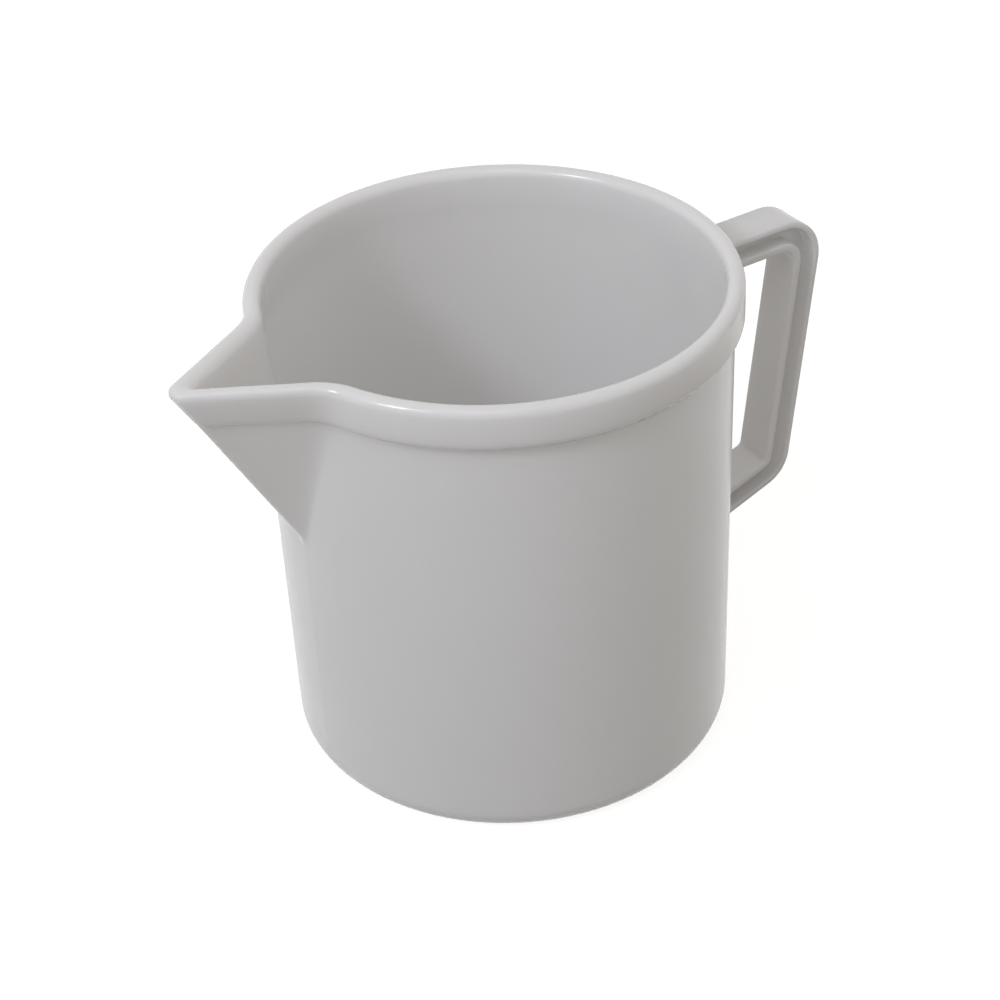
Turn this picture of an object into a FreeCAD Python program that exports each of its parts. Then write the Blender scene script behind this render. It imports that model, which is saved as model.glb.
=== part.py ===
import FreeCAD, Part
import bisect
import math
import os

# Pouring jug, moulded in one piece. Millimetres, +Z up, the standing ring on Z = 0.
# The jug's axis is Z, the handle is towards +X and the spout towards -X.

V = FreeCAD.Vector

# Vessel
height = 124.6
rim_radius = 59.0           # outside of the lip
collar_step = 2.1           # how far the collar stands out from the wall
collar_height = 10.6
collar_edge = 1.4           # rounding of the collar's lower edge
foot_radius = 55.8          # outside of the wall, carried down to the table
base_corner = 5.3           # rounding from the wall to the foot
wall = 2.25
floor_thickness = 3.0
floor_corner = 4.0          # rounding inside, from the wall to the floor
foot_ring = 4.0             # width of the ring the jug stands on
foot_recess = 1.2           # how far the underside is raised inside that ring
gate_radius = 3.0           # moulding gate left under the floor
gate_height = 0.4

# Spout, a V in plan whose keel leans outwards
spout_half_angle = 30.5     # degrees, in plan
spout_reach = 85.8          # tip of the lip, from the jug's axis
spout_slope = 0.5525        # how far the keel moves out per unit of height
lip_nose = 3.8              # rounding of the lip's tip
keel_nose = 2.0             # rounding of the keel outside
valley_nose = 1.6           # rounding of the valley inside
keel_inset = 2.3            # from the lip's sharp V to the keel's, in plan
collar_slope = 0.594        # lean of the collar round the spout
blend_top = 3.8             # softness of the corner between spout and rim
blend_root = 1.3            # the same where the keel leaves the wall
inner_softness = 0.7        # what the inside adds to that softness
spout_sector = 38.0         # degrees each side of the tip, past which all is round

# Handle, a strap with a recess along each side
handle_reach = 96.7         # outer top corner, from the jug's axis
handle_top = 113.2
grip_lean = 10.3            # how far the grip leans in, over its length
grip_foot = 37.1            # height of the outer lower corner
arm_drop = 10.9             # fall of the lower arm on its way to the wall
top_corner = 11.8
low_corner = 9.5
handle_width = 11.2
outer_flange = 1.7
side_recess = 4.2
inner_flange = 2.2
web = 2.2                   # what is left between the two side recesses
edge_round = 0.55
root_round = 1.2            # fillet where the handle meets the wall

# How finely the spout's surfaces are drawn
tip_points = 24             # points of a section from the tip to the sector's edge
levels = 14                 # steps up the walls, from just below the keel's root
lip_steps = 12              # steps over the rounded lip
collar_levels = 3           # steps up the collar
fine_steps = 3000           # steps used to measure the lip's length
tip_crowding = 1.4          # how much closer the points are near the tip
root_crowding = 1.5         # how much closer the levels are near the keel's root
round_margin = 1.2          # round wall left between the cone and the keel
joint = 0.001               # how closely joined surfaces must meet
level_gap = 0.01            # how far an edge at a level may be from it
wall_gap = 0.05             # how far an edge on the wall may be from its cone

half_angle = math.radians(spout_half_angle)
sector = math.radians(spout_sector)
lip_apex = spout_reach - lip_nose + lip_nose / math.sin(half_angle)
keel_apex = lip_apex - keel_inset
lip_thickness = wall + collar_step
taper = (rim_radius - collar_step - foot_radius) / height
lip_radius = lip_thickness / (2 - taper)
valley_apex = lip_apex - lip_thickness / math.sin(half_angle)
seam = height - lip_radius           # where the lip starts to round over
collar_low = height - collar_height


def wall_radius(z):
    return foot_radius + taper * z


keel_tip = keel_apex - keel_nose * (1 / math.sin(half_angle) - 1)
keel_gain = spout_slope - taper      # how fast the keel leaves the wall
root = (wall_radius(0) - keel_tip + height * spout_slope) / keel_gain
round_top = root - blend_root / keel_gain - round_margin


def blend_at(z):
    share = min(max((z - root) / (height - root), 0.0), 1.0)
    return blend_root + (blend_top - blend_root) * share


# The three upright surfaces at a height: radius, sharp corner of the V, its nose, blend

def outer_at(z):
    return wall_radius(z), keel_apex - (height - z) * spout_slope, keel_nose, blend_at(z)


def collar_at(z):
    return rim_radius, lip_apex - (height - z) * collar_slope, lip_nose, blend_top


def inner_at(z):
    apex = valley_apex - (height - z) * spout_slope
    return wall_radius(z) - wall, apex, valley_nose, blend_at(z) + inner_softness


def vee_radius(turn, apex, nose):
    """Distance from the axis to a V with a rounded tip, at an angle from the tip."""
    centre = apex - nose / math.sin(half_angle)
    tangent = math.atan2(nose * math.cos(half_angle), centre + nose * math.sin(half_angle))
    if turn <= tangent:
        across = centre * math.sin(turn)
        return centre * math.cos(turn) + math.sqrt(nose ** 2 - across ** 2)
    return apex * math.sin(half_angle) / math.sin(half_angle + turn)


def outline_radius(turn, radius, apex, nose, blend):
    """The larger of round wall and V, with a smooth change from one to the other."""
    vee = vee_radius(abs(turn), apex, nose)
    near = max(blend - abs(radius - vee), 0.0)
    return max(radius, vee) + near ** 2 / (4 * blend)


def stations():
    """Angles across the spout's sector and their places along the lip, from 0 to 1."""
    fine = [sector * i / fine_steps for i in range(fine_steps + 1)]
    radii = [outline_radius(turn, *collar_at(height)) for turn in fine]
    walked = [0.0]
    for i in range(fine_steps):
        step = math.hypot(radii[i + 1] - radii[i], radii[i] * sector / fine_steps)
        walked.append(walked[-1] + step)
    shares = [(i / tip_points) ** tip_crowding for i in range(tip_points + 1)]
    turns = [fine[bisect.bisect_left(walked, share * walked[-1])] for share in shares]
    turns = [-turn for turn in turns[:0:-1]] + turns
    places = [0.5 - share / 2 for share in shares[:0:-1]]
    return turns, places + [0.5 + share / 2 for share in shares], 2 * walked[-1]


turns, places, lip_length = stations()


def section(z, shape):
    """Curve in plan across the spout's sector, tangent to the round wall at both ends."""
    points = []
    for turn in turns:
        r = outline_radius(turn, *shape)
        points.append(V(-r * math.cos(turn), -r * math.sin(turn), z))
    speed = lip_length * shape[0] / rim_radius
    start = V(-math.sin(sector), -math.cos(sector), 0) * speed
    end = V(math.sin(sector), -math.cos(sector), 0) * speed
    curve = Part.BSplineCurve()
    curve.interpolate(Points=points, Parameters=places, InitialTangent=start,
                      FinalTangent=end, Scale=False)
    return curve


def closed(curve, radius):
    """Closed wire: a section's curve and the arc that completes it."""
    far = 180 - spout_sector
    z = curve.StartPoint.z
    arc = Part.makeCircle(radius, V(0, 0, z), V(0, 0, 1), -far, far)
    return Part.Wire(Part.__sortEdges__([curve.toShape(), arc]))


def skin(curves, rise, caps, profile):
    """Solid whose side runs through the curves, and on round the axis as the profile."""
    columns = []
    for column in zip(*[curve.getPoles() for curve in curves]):
        line = Part.BSplineCurve()
        line.interpolate(Points=list(column), Parameters=rise)
        columns.append(line.getPoles())
    across = curves[0]
    surface = Part.BSplineSurface()
    surface.buildFromPolesMultsKnots(
        columns, across.getMultiplicities(), line.getMultiplicities(),
        across.getKnots(), line.getKnots(), False, False, 3, 3)
    profile.rotate(V(0, 0, 0), V(0, 0, 1), spout_sector - 180)
    round_side = profile.revolve(V(0, 0, 0), V(0, 0, 1), 360 - 2 * spout_sector)
    joined, _ = surface.toShape().generalFuse([round_side] + caps, joint)
    shell = Part.Shell(joined.Faces)
    shell.sewShape()
    return Part.Solid(shell)


def upright(heights, shape_at):
    """Solid through one section at each height, with a flat face at both ends."""
    curves = [section(z, shape_at(z)) for z in heights]
    rise = [(z - heights[0]) / (heights[-1] - heights[0]) for z in heights]
    ends = ((curves[0], heights[0]), (curves[-1], heights[-1]))
    caps = [Part.Face(closed(curve, shape_at(z)[0])) for curve, z in ends]
    profile = Part.makeLine(*[V(shape_at(z)[0], 0, z) for _, z in ends])
    return skin(curves, rise, caps, profile)


def edges_at(shape, z):
    """Edges of a shape that lie in the horizontal plane at z."""
    boxes = [(edge, edge.BoundBox) for edge in shape.Edges]
    return [edge for edge, box in boxes
            if abs(box.ZMin - z) < level_gap and abs(box.ZMax - z) < level_gap]


def vessel(shape_at, low, high, corner):
    """Round from low up to the keel's root, with a rounded foot, then with the spout."""
    foot = Part.makeCone(shape_at(low)[0], shape_at(round_top)[0], round_top - low,
                         V(0, 0, low))
    foot = foot.makeFillet(corner, edges_at(foot, low))
    foot.rotate(V(0, 0, 0), V(0, 0, 1), 180)
    rise = high - round_top
    heights = [round_top + rise * (i / levels) ** root_crowding for i in range(levels + 1)]
    return foot.fuse(upright(heights, shape_at), joint)


def collar():
    rise = seam - collar_low
    heights = [collar_low + rise * i / collar_levels for i in range(collar_levels + 1)]
    band = upright(heights, collar_at)
    return band.makeFillet(collar_edge, edges_at(band, collar_low))


def lip():
    """Half-round rim, leaning with the walls under it."""
    outer = collar_at(seam)
    inner = inner_at(seam)
    curves = []
    rise = []
    for i in range(lip_steps + 1):
        rise.append((1 - math.cos(math.pi * i / lip_steps)) / 2)
        angle = math.pi * rise[-1]
        share = (1 - math.cos(angle)) / 2
        up = lip_radius * math.sin(angle)
        radius, apex, nose, blend = [a + (b - a) * share for a, b in zip(outer, inner)]
        apex += up * (collar_slope + (spout_slope - collar_slope) * share)
        curves.append(section(seam + up, (radius, apex, nose, blend)))
    rings = [closed(curves[0], outer[0]), closed(curves[-1], inner[0])]
    cap = Part.makeFace(rings, "Part::FaceMakerBullseye")
    crown = V(outer[0] - lip_radius, 0, height)
    profile = Part.Arc(V(outer[0], 0, seam), crown, V(inner[0], 0, seam)).toShape()
    return skin(curves, rise, cap.Faces, profile)


def rounded(points, radii):
    """Wire through the points, with an arc of the given radius at each inner corner."""
    edges = []
    last = points[0]
    for here, after, radius in zip(points[1:-1], points[2:], radii):
        back = last - here
        on = after - here
        back.normalize()
        on.normalize()
        half = math.acos(back.dot(on)) / 2
        run = radius / math.tan(half)
        to_middle = back + on
        to_middle.normalize()
        middle = here + to_middle * (radius / math.sin(half) - radius)
        first = here + back * run
        edges.append(Part.makeLine(last, first))
        last = here + on * run
        edges.append(Part.Arc(first, middle, last).toShape())
    edges.append(Part.makeLine(last, points[-1]))
    return Part.Wire(edges)


def strap(near, depth, low_y, width):
    """Part of the handle that starts this far in from its outer face and side."""
    inside = foot_radius - wall
    path = rounded([V(inside, low_y, handle_top),
                    V(handle_reach, low_y, handle_top),
                    V(handle_reach - grip_lean, low_y, grip_foot),
                    V(inside, low_y, grip_foot - arm_drop)], [top_corner, low_corner])
    if near:
        path = path.makeOffset2D(-near, 0, False, True)
    face = path.makeOffset2D(-depth, 0, True, True)
    return face.extrude(V(0, width, 0))


def handle():
    side = handle_width / 2
    body = strap(0, outer_flange + side_recess + inner_flange, -side, handle_width)
    recess = side - web / 2
    for low_y in (-side, web / 2):
        body = body.cut(strap(outer_flange, side_recess, low_y, recess))
    rims = [e for e in body.Edges if abs(abs(e.CenterOfMass.y) - side) < level_gap
            and e.BoundBox.YLength < level_gap and e.BoundBox.XMax > foot_radius]
    return body.makeFillet(edge_round, rims)


def root_edges(shape):
    """Edges where the handle meets the wall."""
    found = []
    for edge in shape.Edges:
        box = edge.BoundBox
        middle = edge.valueAt((edge.FirstParameter + edge.LastParameter) / 2)
        off_wall = abs(math.hypot(middle.x, middle.y) - wall_radius(middle.z))
        if off_wall < wall_gap and box.XMin > 0 and box.YLength < handle_width + level_gap:
            found.append(edge)
    return found


def underside():
    """What is taken away below: a shallow recess inside the standing ring."""
    radius = foot_radius - base_corner - foot_ring
    recess = Part.makeCone(radius, radius - foot_recess, foot_recess)
    gate = Part.makeCylinder(gate_radius, gate_height, V(0, 0, foot_recess - gate_height))
    return recess.cut(gate)


def jug():
    body = vessel(outer_at, 0, collar_low + collar_height / 2, base_corner)
    body = body.fuse(handle())
    body = body.makeFillet(root_round, root_edges(body))
    body = body.fuse(collar())
    body = body.cut(vessel(inner_at, floor_thickness, seam, floor_corner))
    body = body.cut(underside())
    return body.fuse(lip()).removeSplitter()


os.makedirs("parts", exist_ok=True)
jug().exportStep("parts/jug.step")
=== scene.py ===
import logging
import math
from collections.abc import Sequence
from dataclasses import dataclass, field
from enum import Enum

import bpy
from mathutils import Matrix, Vector


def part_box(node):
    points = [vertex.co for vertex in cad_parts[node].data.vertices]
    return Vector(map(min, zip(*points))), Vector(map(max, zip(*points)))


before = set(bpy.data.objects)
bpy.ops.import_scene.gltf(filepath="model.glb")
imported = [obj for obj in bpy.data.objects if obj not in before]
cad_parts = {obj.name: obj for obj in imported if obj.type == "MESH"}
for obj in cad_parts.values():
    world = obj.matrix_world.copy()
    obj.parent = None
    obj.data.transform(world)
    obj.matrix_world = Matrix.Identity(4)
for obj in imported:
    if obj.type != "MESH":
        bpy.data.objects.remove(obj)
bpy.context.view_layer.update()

# Looks of a pouring jug moulded in white polypropylene, with the table and light round it.
# Metres, degrees and watts, +Z up, the foot on Z = 0. The jug's axis is Z, and its handle is
# towards +X. How fine a pattern is stands in waves per metre.

LOG = logging.getLogger("jug_looks")
JUG_NODE = "jug"

Colour = tuple[float, float, float]
Point = tuple[float, float, float]
Socket = bpy.types.NodeSocket

WHITE: Colour = (1.0, 1.0, 1.0)
CLOUD_STRETCH = (-0.5, 1.5)     # widens the noise's narrow middle, so that both tones are reached


class Ray(Enum):
    """Kinds of ray that see the white surroundings, as Light Path's outputs name them."""

    CAMERA = "Is Camera Ray"
    GLOSSY = "Is Glossy Ray"
    TRANSMISSION = "Is Transmission Ray"


class Kind(Enum):
    """Kinds of socket that a node group has."""

    FLOAT = "NodeSocketFloat"
    COLOR = "NodeSocketColor"
    VECTOR = "NodeSocketVector"


class Pattern(Enum):
    """The effects that materials share, by the names of their node groups."""

    TONE = "tone_drift"
    GRAIN = "surface_grain"


def with_alpha(colour: Colour) -> tuple[float, float, float, float]:
    """A colour as a node socket takes it."""
    return (*colour, 1.0)


class Graph:
    """A node tree that is being wired, with short ways to add nodes."""

    def __init__(self, tree: bpy.types.NodeTree) -> None:
        """Starts on a tree, whose nodes are left as they are."""
        self.tree = tree

    def add(self, kind: str, **settings: object) -> bpy.types.Node:
        """Adds a node.

        Args:
            kind: The node's type, without its ShaderNode prefix.
            settings: Properties of the node and their values.

        Returns:
            The new node.
        """
        node = self.tree.nodes.new("ShaderNode" + kind)
        for name, value in settings.items():
            setattr(node, name, value)
        return node

    def wire(self, node: bpy.types.Node, **inputs: object) -> bpy.types.Node:
        """Links or sets a node's inputs.

        Args:
            node: The node to feed.
            inputs: Input names, with _ for a space, and a socket to link or a value to set.

        Returns:
            The same node.
        """
        for name, value in inputs.items():
            self.feed(node.inputs[name.replace("_", " ")], value)
        return node

    def feed(self, socket: Socket, value: object) -> None:
        """Links or sets one input.

        Args:
            socket: The input.
            value: A socket to link, or a plain value to set.
        """
        if isinstance(value, Socket):
            self.tree.links.new(value, socket)
        else:
            socket.default_value = value

    def math(self, operation: str, first: object, second: object) -> Socket:
        """Combines two numbers.

        Args:
            operation: The Math node's operation.
            first: A socket or a number.
            second: A socket or a number.

        Returns:
            The result's socket.
        """
        node = self.add("Math", operation=operation)
        for socket, value in zip(node.inputs, (first, second)):
            self.feed(socket, value)
        return node.outputs["Value"]

    def spread(self, value: Socket, low: float, high: float) -> Socket:
        """Maps a mask from 0 to 1 to the range from low to high."""
        node = self.wire(self.add("MapRange"), Value=value, To_Min=low, To_Max=high)
        return node.outputs["Result"]

    def blend(self, mask: Socket, first: object, second: object) -> Socket:
        """Mixes two colours.

        Args:
            mask: 0 where the first colour shows, 1 where the second does.
            first: A socket or a colour with alpha.
            second: A socket or a colour with alpha.

        Returns:
            The mixed colour's socket.
        """
        node = self.add("Mix", data_type="RGBA")
        sockets = [one for one in node.inputs if one.enabled]
        for socket, value in zip(sockets, (mask, first, second)):
            self.feed(socket, value)
        return next(one for one in node.outputs if one.enabled)

    def bump(self, height: Socket, distance: float) -> Socket:
        """Turns a height from 0 to 1 into a normal.

        Args:
            height: The height's socket.
            distance: What a height of 1 stands for.

        Returns:
            The normal's socket.
        """
        node = self.wire(self.add("Bump"), Height=height, Distance=distance)
        return node.outputs["Normal"]


@dataclass(frozen=True)
class Effect:
    """A shader node group with named sockets, made once and placed in many materials."""

    pattern: Pattern
    inputs: dict[str, Kind]
    outputs: dict[str, Kind]

    def start(self) -> tuple[Graph, bpy.types.Node, bpy.types.Node]:
        """Makes the empty group.

        Returns:
            The group's graph, its input node and its output node.
        """
        tree = bpy.data.node_groups.new(self.pattern.value, "ShaderNodeTree")
        for name, kind in self.inputs.items():
            tree.interface.new_socket(name, in_out="INPUT", socket_type=kind.value)
        for name, kind in self.outputs.items():
            tree.interface.new_socket(name, in_out="OUTPUT", socket_type=kind.value)
        return Graph(tree), tree.nodes.new("NodeGroupInput"), tree.nodes.new("NodeGroupOutput")


def tone_effect() -> bpy.types.NodeTree:
    """Broad soft drift of a colour, as in thick and thin places of a moulding.

    Returns:
        The group, which puts out a colour.
    """
    effect = Effect(
        Pattern.TONE,
        {"Place": Kind.VECTOR, "Light tone": Kind.COLOR, "Dark tone": Kind.COLOR,
         "Fineness": Kind.FLOAT},
        {"Color": Kind.COLOR},
    )
    graph, inside, outside = effect.start()
    cloud = graph.wire(graph.add("TexNoise"), Vector=inside.outputs["Place"],
                       Scale=inside.outputs["Fineness"], Detail=3.0, Roughness=0.45)
    mask = graph.spread(cloud.outputs["Fac"], *CLOUD_STRETCH)
    tones = inside.outputs["Light tone"], inside.outputs["Dark tone"]
    graph.wire(outside, Color=graph.blend(mask, *tones))
    return graph.tree


def grain_effect() -> bpy.types.NodeTree:
    """Fine texture that a mould or a coating leaves, over a slow unevenness.

    Returns:
        The group, which puts out a height and a mask for roughness.
    """
    effect = Effect(
        Pattern.GRAIN,
        {"Place": Kind.VECTOR, "Speckle fineness": Kind.FLOAT, "Wave fineness": Kind.FLOAT,
         "Wave share": Kind.FLOAT, "Patch fineness": Kind.FLOAT},
        {"Height": Kind.FLOAT, "Patch": Kind.FLOAT},
    )
    graph, inside, outside = effect.start()
    place = inside.outputs["Place"]
    speckle = graph.wire(graph.add("TexNoise"), Vector=place,
                         Scale=inside.outputs["Speckle fineness"], Detail=2.0)
    wave = graph.wire(graph.add("TexNoise"), Vector=place,
                      Scale=inside.outputs["Wave fineness"], Detail=1.0)
    share = inside.outputs["Wave share"]
    slow = graph.math("MULTIPLY", wave.outputs["Fac"], share)
    rest = graph.math("SUBTRACT", 1.0, share)
    quick = graph.math("MULTIPLY", speckle.outputs["Fac"], rest)
    patch = graph.wire(graph.add("TexNoise"), Vector=place,
                       Scale=inside.outputs["Patch fineness"], Detail=5.0, Roughness=0.6)
    graph.wire(outside, Height=graph.math("ADD", slow, quick), Patch=patch.outputs["Fac"])
    return graph.tree


class Effects:
    """The node groups of this scene, each built the first time it is placed."""

    _makers = {Pattern.TONE: tone_effect, Pattern.GRAIN: grain_effect}
    _made: dict[Pattern, bpy.types.NodeTree] = {}

    @classmethod
    def place(cls, graph: Graph, pattern: Pattern, **inputs: object) -> bpy.types.Node:
        """Places an effect in a material.

        Args:
            graph: The material's graph.
            pattern: Which effect.
            inputs: Values or sockets for its inputs.

        Returns:
            The group node.
        """
        if pattern not in cls._made:
            cls._made[pattern] = cls._makers[pattern]()
        return graph.wire(graph.add("Group", node_tree=cls._made[pattern]), **inputs)


def start_material(name: str) -> tuple[bpy.types.Material, Graph, bpy.types.Node, Socket]:
    """Makes a material.

    Args:
        name: The material's name.

    Returns:
        The material, its graph, its Principled node and the object's own coordinates.
    """
    material = bpy.data.materials.new(name)
    material.use_nodes = True
    graph = Graph(material.node_tree)
    place = graph.add("TexCoord").outputs["Object"]
    return material, graph, material.node_tree.nodes["Principled BSDF"], place


def showing(graph: Graph) -> Socket:
    """A mask of the rays that show the white surroundings: 1 for them, 0 for those that light.

    Args:
        graph: The graph to add to.

    Returns:
        The mask's socket.
    """
    path = graph.add("LightPath")
    mask: Socket | float = 0.0
    for ray in Ray:
        mask = graph.math("MAXIMUM", path.outputs[ray.value], mask)
    return mask


@dataclass(frozen=True)
class Grain:
    """How high a surface's grain stands, how fine it is, and how patchy the gloss is."""

    height: float
    speckle: float
    wave: float
    wave_share: float
    patch: float = 60.0

    def place(self, graph: Graph, place: Socket) -> tuple[Socket, Socket]:
        """Adds the grain to a material.

        Args:
            graph: The material's graph.
            place: The coordinates it follows.

        Returns:
            The normal's socket and the socket of a mask for roughness.
        """
        grain = Effects.place(graph, Pattern.GRAIN, Place=place,
                              Speckle_fineness=self.speckle, Wave_fineness=self.wave,
                              Wave_share=self.wave_share, Patch_fineness=self.patch)
        return graph.bump(grain.outputs["Height"], self.height), grain.outputs["Patch"]


@dataclass(frozen=True)
class Tone:
    """Two near colours that a surface drifts between, and how fine the drift is."""

    light: Colour
    dark: Colour
    fineness: float

    def place(self, graph: Graph, place: Socket) -> Socket:
        """Adds the drift to a material.

        Args:
            graph: The material's graph.
            place: The coordinates it follows.

        Returns:
            The colour's socket.
        """
        tone = Effects.place(graph, Pattern.TONE, Place=place, Fineness=self.fineness,
                             Light_tone=with_alpha(self.light),
                             Dark_tone=with_alpha(self.dark))
        return tone.outputs["Color"]


@dataclass(frozen=True)
class MouldedPlastic:
    """White polypropylene: satin, and thin enough for light to come through its walls."""

    tone: Tone = Tone(light=(0.84, 0.835, 0.835), dark=(0.82, 0.81, 0.80), fineness=14.0)
    grain: Grain = Grain(height=0.00003, speckle=1500.0, wave=25.0, wave_share=0.8)
    roughness: tuple[float, float] = (0.18, 0.26)
    light_depth: float = 0.007
    index: float = 1.49

    def build(self) -> bpy.types.Material:
        """Makes the material.

        Returns:
            The material.
        """
        material, graph, shader, place = start_material("moulded_plastic")
        normal, patch = self.grain.place(graph, place)
        graph.wire(shader, Base_Color=self.tone.place(graph, place), Normal=normal,
                   Roughness=graph.spread(patch, *self.roughness), IOR=self.index,
                   Subsurface_Weight=1.0, Subsurface_Scale=self.light_depth,
                   Subsurface_Radius=WHITE)
        return material


@dataclass(frozen=True)
class TableTop:
    """Matt pale table: white to the eye, and it keeps the soft shadow of what stands on it."""

    tone: Tone = Tone(light=(0.30, 0.288, 0.27), dark=(0.28, 0.27, 0.252), fineness=1.5)
    grain: Grain = Grain(height=0.0001, speckle=900.0, wave=8.0, wave_share=0.3)
    roughness: float = 0.90
    whiteness: float = 0.88

    def build(self) -> bpy.types.Material:
        """Makes the material.

        Returns:
            The material.
        """
        material, graph, shader, place = start_material("table_top")
        normal, _ = self.grain.place(graph, place)
        graph.wire(shader, Base_Color=self.tone.place(graph, place), Normal=normal,
                   Roughness=self.roughness, Specular_IOR_Level=0.0,
                   Emission_Color=with_alpha(WHITE),
                   Emission_Strength=graph.spread(showing(graph), 0.0, self.whiteness))
        return material


@dataclass
class Jug:
    """The jug itself. Its shape is the frame's, and this gives it its finish."""

    node: str = JUG_NODE
    slot: str = "plastic"
    finish: MouldedPlastic = field(default_factory=MouldedPlastic)

    def dress(self) -> bpy.types.Object:
        """Puts the finish on.

        Returns:
            The jug.
        """
        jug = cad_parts[self.node]
        material = self.finish.build()
        for slot in jug.material_slots:
            slot.material = material
        return jug


@dataclass
class Table:
    """The plain surface the jug stands on."""

    half_width: float = 4.0
    drop: float = 0.0001
    finish: TableTop = field(default_factory=TableTop)

    def build(self) -> bpy.types.Object:
        """Makes the table top, a hair below the foot so that the two faces don't mix.

        Returns:
            The table top.
        """
        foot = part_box(JUG_NODE)[0][2]
        signs = ((-1, -1), (1, -1), (1, 1), (-1, 1))
        corners = [(x * self.half_width, y * self.half_width, foot - self.drop)
                   for x, y in signs]
        mesh = bpy.data.meshes.new("table")
        mesh.from_pydata(corners, [], [range(len(corners))])
        mesh.materials.append(self.finish.build())
        table = bpy.data.objects.new("table", mesh)
        bpy.context.scene.collection.objects.link(table)
        return table


@dataclass(frozen=True)
class Viewpoint:
    """A camera, given by what it looks at and from where. Its lens is in millimetres."""

    target: Point = (-0.0009, 0.0005, 0.0605)
    turn: float = -31.6
    elevation: float = 34.86
    distance: float = 0.5857
    roll: float = -2.85
    focal_length: float = 84.3
    sensor: float = 36.0
    nearest: float = 0.01

    def facing(self) -> Matrix:
        """The camera's directions, before its roll."""
        turned = Matrix.Rotation(math.radians(self.turn), 4, "Z")
        return turned @ Matrix.Rotation(math.radians(90 - self.elevation), 4, "X")

    def build(self) -> bpy.types.Object:
        """Makes the camera and gives it to the scene.

        Returns:
            The camera.
        """
        data = bpy.data.cameras.new("viewpoint")
        data.lens = self.focal_length
        data.sensor_width = self.sensor
        data.clip_start = self.nearest
        camera = bpy.data.objects.new("viewpoint", data)
        bpy.context.scene.collection.objects.link(camera)
        facing = self.facing()
        place = Vector(self.target) + facing @ Vector((0.0, 0.0, self.distance))
        rolled = Matrix.Rotation(math.radians(self.roll), 4, "Z")
        camera.matrix_world = Matrix.Translation(place) @ facing @ rolled
        bpy.context.scene.camera = camera
        return camera


@dataclass(frozen=True)
class Lamp:
    """A round soft light that faces the jug. Azimuth is from +X, anticlockwise from above."""

    name: str
    azimuth: float
    elevation: float
    distance: float
    width: float
    power: float
    colour: Colour

    def build(self, aim: Point) -> bpy.types.Object:
        """Makes the light.

        Args:
            aim: The point it faces.

        Returns:
            The light.
        """
        data = bpy.data.lights.new(self.name, "AREA")
        data.shape = "DISK"
        data.size = self.width
        data.energy = self.power
        data.color = self.colour
        lamp = bpy.data.objects.new(self.name, data)
        bpy.context.scene.collection.objects.link(lamp)
        around = math.radians(self.azimuth)
        above = math.radians(self.elevation)
        away = Vector((math.cos(above) * math.cos(around),
                       math.cos(above) * math.sin(around), math.sin(above)))
        lamp.location = Vector(aim) + away * self.distance
        lamp.rotation_euler = (-away).to_track_quat("-Z", "Y").to_euler()
        return lamp


@dataclass
class Studio:
    """Soft light from two windows, in surroundings that look white."""

    surroundings: Colour = (1.0, 0.965, 0.925)
    fill: float = 0.48
    lamps: Sequence[Lamp] = (
        Lamp("window", azimuth=190.0, elevation=41.0, distance=1.3, width=0.25, power=4.8,
             colour=(0.84, 0.88, 1.0)),
        Lamp("far_window", azimuth=228.0, elevation=60.0, distance=1.3, width=0.5, power=1.4,
             colour=(0.92, 0.94, 1.0)),
    )

    def build(self) -> list[bpy.types.Object]:
        """Makes the surroundings and the lamps, which face the middle of the jug.

        Returns:
            The lamps.
        """
        world = bpy.data.worlds.new("surroundings")
        world.use_nodes = True
        graph = Graph(world.node_tree)
        background = world.node_tree.nodes["Background"]
        mask = showing(graph)
        tint = graph.blend(mask, with_alpha(self.surroundings), with_alpha(WHITE))
        graph.wire(background, Color=tint, Strength=graph.spread(mask, self.fill, 1.0))
        bpy.context.scene.world = world
        low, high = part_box(JUG_NODE)
        middle = (0.0, 0.0, (low[2] + high[2]) / 2)
        return [lamp.build(middle) for lamp in self.lamps]


def main() -> None:
    """Builds the camera, the jug's finish, the table and the light, and reports each."""
    logging.basicConfig(level=logging.INFO, format="%(name)s: %(message)s")
    scene = bpy.context.scene
    scene.view_settings.view_transform = "Standard"
    camera = Viewpoint().build()
    LOG.info("camera at %s", [round(value, 3) for value in camera.matrix_world.translation])
    jug = Jug().dress()
    LOG.info("%s: %d faces, finish %s", jug.name, len(jug.data.polygons),
             jug.material_slots[0].material.name)
    table = Table().build()
    LOG.info("%s: %s", table.name, table.data.materials[0].name)
    for lamp in Studio().build():
        LOG.info("lamp %s: %.1f W", lamp.name, lamp.data.energy)


if __name__ == "__main__":
    main()
